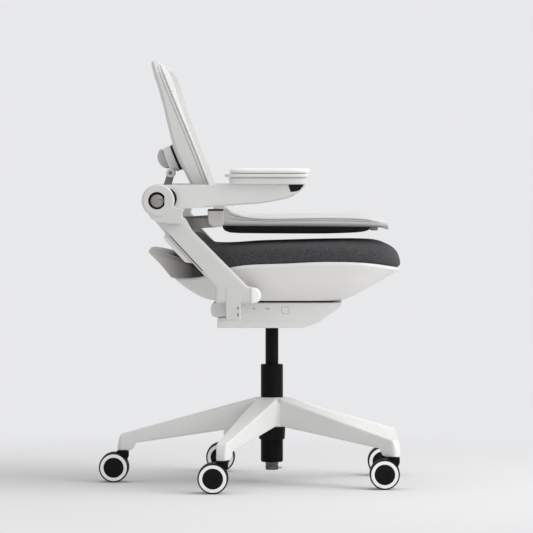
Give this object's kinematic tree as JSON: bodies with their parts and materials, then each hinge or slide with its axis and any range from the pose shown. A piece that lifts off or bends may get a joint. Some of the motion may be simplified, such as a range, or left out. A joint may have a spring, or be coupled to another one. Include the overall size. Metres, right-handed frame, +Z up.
{
  "type": "folding office chair",
  "caption": "Swivel office chair with a padded backrest that folds down under an upright back panel, flip-up armrests, a reclining back frame, a gas lift and a star base on casters.",
  "frame": {"origin": "middle of the chair's footprint, on the floor", "axes": "+X the way the seat faces, +Y to the sitter's left, +Z up"},
  "size_m": [0.6516, 0.6668, 0.9065],
  "materials": {
    "white_base": "white powder coat",
    "white_plastic": "fine satin",
    "grey_plastic": "fine satin",
    "taupe_plastic": "matte",
    "black_plastic": "matte",
    "black_steel": "black paint",
    "steel": "turned",
    "rubber": "matte",
    "fabric": "charcoal heather weave"
  },
  "bodies": {
    "base": {"base_star": "white_base", "hub_collar": "black_plastic", "lift_tube": "black_steel", "lift_bush": "black_plastic", "lift_bearing": "steel"},
    "lift_rod": {"piston_rod": "steel"},
    "seat_unit": {"gas_cylinder": "black_steel", "mech_housing": "white_plastic", "torsion_tube": "white_plastic", "outrigger_left": "grey_plastic", "outrigger_right": "grey_plastic", "seat_plate": "black_steel", "seat_tub": "white_plastic", "seat_tail": "taupe_plastic", "seat_cushion": "fabric"},
    "height_button": {"height_button": "white_plastic"},
    "tilt_button": {"tilt_button": "white_plastic"},
    "back_frame": {"back_arm_left": "grey_plastic", "back_arm_right": "grey_plastic", "arm_trim_left": "white_plastic", "arm_trim_right": "white_plastic", "armrest_pin_left": "black_plastic", "armrest_pin_right": "black_plastic", "cross_tube": "grey_plastic", "back_strut": "grey_plastic", "fold_bracket_left": "taupe_plastic", "fold_bracket_right": "taupe_plastic"},
    "armrest_left": {"armrest_beam_left": "grey_plastic", "armrest_carrier_left": "grey_plastic", "armrest_pad_left": "white_plastic"},
    "armrest_right": {"armrest_beam_right": "grey_plastic", "armrest_carrier_right": "grey_plastic", "armrest_pad_right": "white_plastic"},
    "backrest": {"backrest_shell": "white_plastic", "backrest_pad": "fabric", "rest_bumper_left": "rubber", "rest_bumper_right": "rubber"},
    "upper_back": {"upper_shell": "grey_plastic", "tilt_puck": "grey_plastic", "puck_cap": "white_plastic"},
    "caster_1": {"caster_body_1": "black_plastic"},
    "wheels_1": {"caster_wheels_1": "black_plastic", "wheel_ring_1a": "white_plastic", "wheel_ring_1b": "white_plastic"},
    "caster_2": {"caster_body_2": "black_plastic"},
    "wheels_2": {"caster_wheels_2": "black_plastic", "wheel_ring_2a": "white_plastic", "wheel_ring_2b": "white_plastic"},
    "caster_3": {"caster_body_3": "black_plastic"},
    "wheels_3": {"caster_wheels_3": "black_plastic", "wheel_ring_3a": "white_plastic", "wheel_ring_3b": "white_plastic"},
    "caster_4": {"caster_body_4": "black_plastic"},
    "wheels_4": {"caster_wheels_4": "black_plastic", "wheel_ring_4a": "white_plastic", "wheel_ring_4b": "white_plastic"},
    "caster_5": {"caster_body_5": "black_plastic"},
    "wheels_5": {"caster_wheels_5": "black_plastic", "wheel_ring_5a": "white_plastic", "wheel_ring_5b": "white_plastic"}
  },
  "joints": [
    {"name": "seat_swivel", "type": "hinge", "parent": "base", "child": "lift_rod", "pos_m": [0.0478, 0, 0.1], "axis": [0, 0, 1], "continuous": true},
    {"name": "seat_height", "type": "slide", "parent": "lift_rod", "child": "seat_unit", "axis": [0, 0, 1], "range_m": [-0.06, 0.03]},
    {"name": "height_press", "type": "slide", "parent": "seat_unit", "child": "height_button", "axis": [0, 1, 0], "range_m": [0, 0.003], "stiffness_N_per_m": 400, "springref_m": -0.002},
    {"name": "tilt_press", "type": "slide", "parent": "seat_unit", "child": "tilt_button", "axis": [0, -1, 0], "range_m": [0, 0.003], "stiffness_N_per_m": 400, "springref_m": -0.002},
    {"name": "back_recline", "type": "hinge", "parent": "seat_unit", "child": "back_frame", "pos_m": [0.0118, 0, 0.412], "axis": [0, -1, 0], "range_deg": [0, 10], "stiffness_Nm_per_rad": 90, "springref_deg": -22.92},
    {"name": "armrest_left_flip", "type": "hinge", "parent": "back_frame", "child": "armrest_left", "pos_m": [-0.1862, 0.264, 0.611], "axis": [0, -1, 0], "range_deg": [0, 90]},
    {"name": "armrest_right_flip", "type": "hinge", "parent": "back_frame", "child": "armrest_right", "pos_m": [-0.1862, -0.264, 0.611], "axis": [0, -1, 0], "range_deg": [0, 90]},
    {"name": "backrest_fold", "type": "hinge", "parent": "back_frame", "child": "backrest", "pos_m": [-0.0676, 0, 0.574], "axis": [0, -1, 0], "range_deg": [0, 100]},
    {"name": "upper_tilt", "type": "hinge", "parent": "back_frame", "child": "upper_back", "pos_m": [-0.1702, 0, 0.668], "axis": [0, -1, 0], "range_deg": [0, 5]},
    {"name": "caster_1_swivel", "type": "hinge", "parent": "base", "child": "caster_1", "pos_m": [-0.2742, 0, 0.08], "axis": [0, 0, 1], "continuous": true},
    {"name": "caster_1_roll", "type": "hinge", "parent": "caster_1", "child": "wheels_1", "pos_m": [-0.2937, 0, 0.0321], "axis": [0, 1, 0], "continuous": true},
    {"name": "caster_2_swivel", "type": "hinge", "parent": "base", "child": "caster_2", "pos_m": [-0.0517, -0.30624, 0.08], "axis": [0, 0, 1], "continuous": true},
    {"name": "caster_2_roll", "type": "hinge", "parent": "caster_2", "child": "wheels_2", "pos_m": [-0.0712, -0.30624, 0.0321], "axis": [0, 1, 0], "continuous": true},
    {"name": "caster_3_swivel", "type": "hinge", "parent": "base", "child": "caster_3", "pos_m": [0.3083, -0.18927, 0.08], "axis": [0, 0, 1], "continuous": true},
    {"name": "caster_3_roll", "type": "hinge", "parent": "caster_3", "child": "wheels_3", "pos_m": [0.2888, -0.18927, 0.0321], "axis": [0, 1, 0], "continuous": true},
    {"name": "caster_4_swivel", "type": "hinge", "parent": "base", "child": "caster_4", "pos_m": [0.3083, 0.18927, 0.08], "axis": [0, 0, 1], "continuous": true},
    {"name": "caster_4_roll", "type": "hinge", "parent": "caster_4", "child": "wheels_4", "pos_m": [0.2888, 0.18927, 0.0321], "axis": [0, 1, 0], "continuous": true},
    {"name": "caster_5_swivel", "type": "hinge", "parent": "base", "child": "caster_5", "pos_m": [-0.0517, 0.30624, 0.08], "axis": [0, 0, 1], "continuous": true},
    {"name": "caster_5_roll", "type": "hinge", "parent": "caster_5", "child": "wheels_5", "pos_m": [-0.0712, 0.30624, 0.0321], "axis": [0, 1, 0], "continuous": true}
  ]
}
